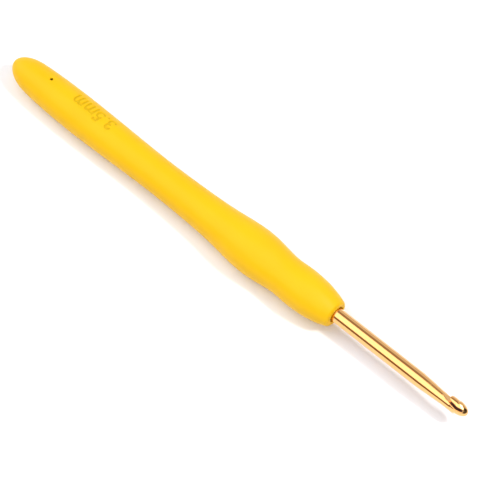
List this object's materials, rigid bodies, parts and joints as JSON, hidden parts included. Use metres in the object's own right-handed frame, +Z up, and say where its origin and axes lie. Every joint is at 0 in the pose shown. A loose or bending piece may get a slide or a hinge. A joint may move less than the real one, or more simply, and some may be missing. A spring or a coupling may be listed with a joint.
{
  "type": "crochet hook",
  "caption": "Slim crochet hook with a tapered neck and undercut head, held in a soft ergonomic handle with a palm bulge and a finger waist.",
  "frame": {"origin": "centre of the bounding box in plan, on the surface that the hook lies on", "axes": "+X along the tool towards the hook's tip, +Z up, with the marked side of the handle up"},
  "size_m": [0.1394, 0.0114, 0.0105],
  "materials": {
    "soft_yellow": "satin soft-touch",
    "core_plastic": "as moulded",
    "gold_aluminium": "polished, gold anodised"
  },
  "bodies": {
    "root": {"soft_grip": "soft_yellow", "handle_core": "core_plastic", "hook": "gold_aluminium"}
  },
  "joints": []
}
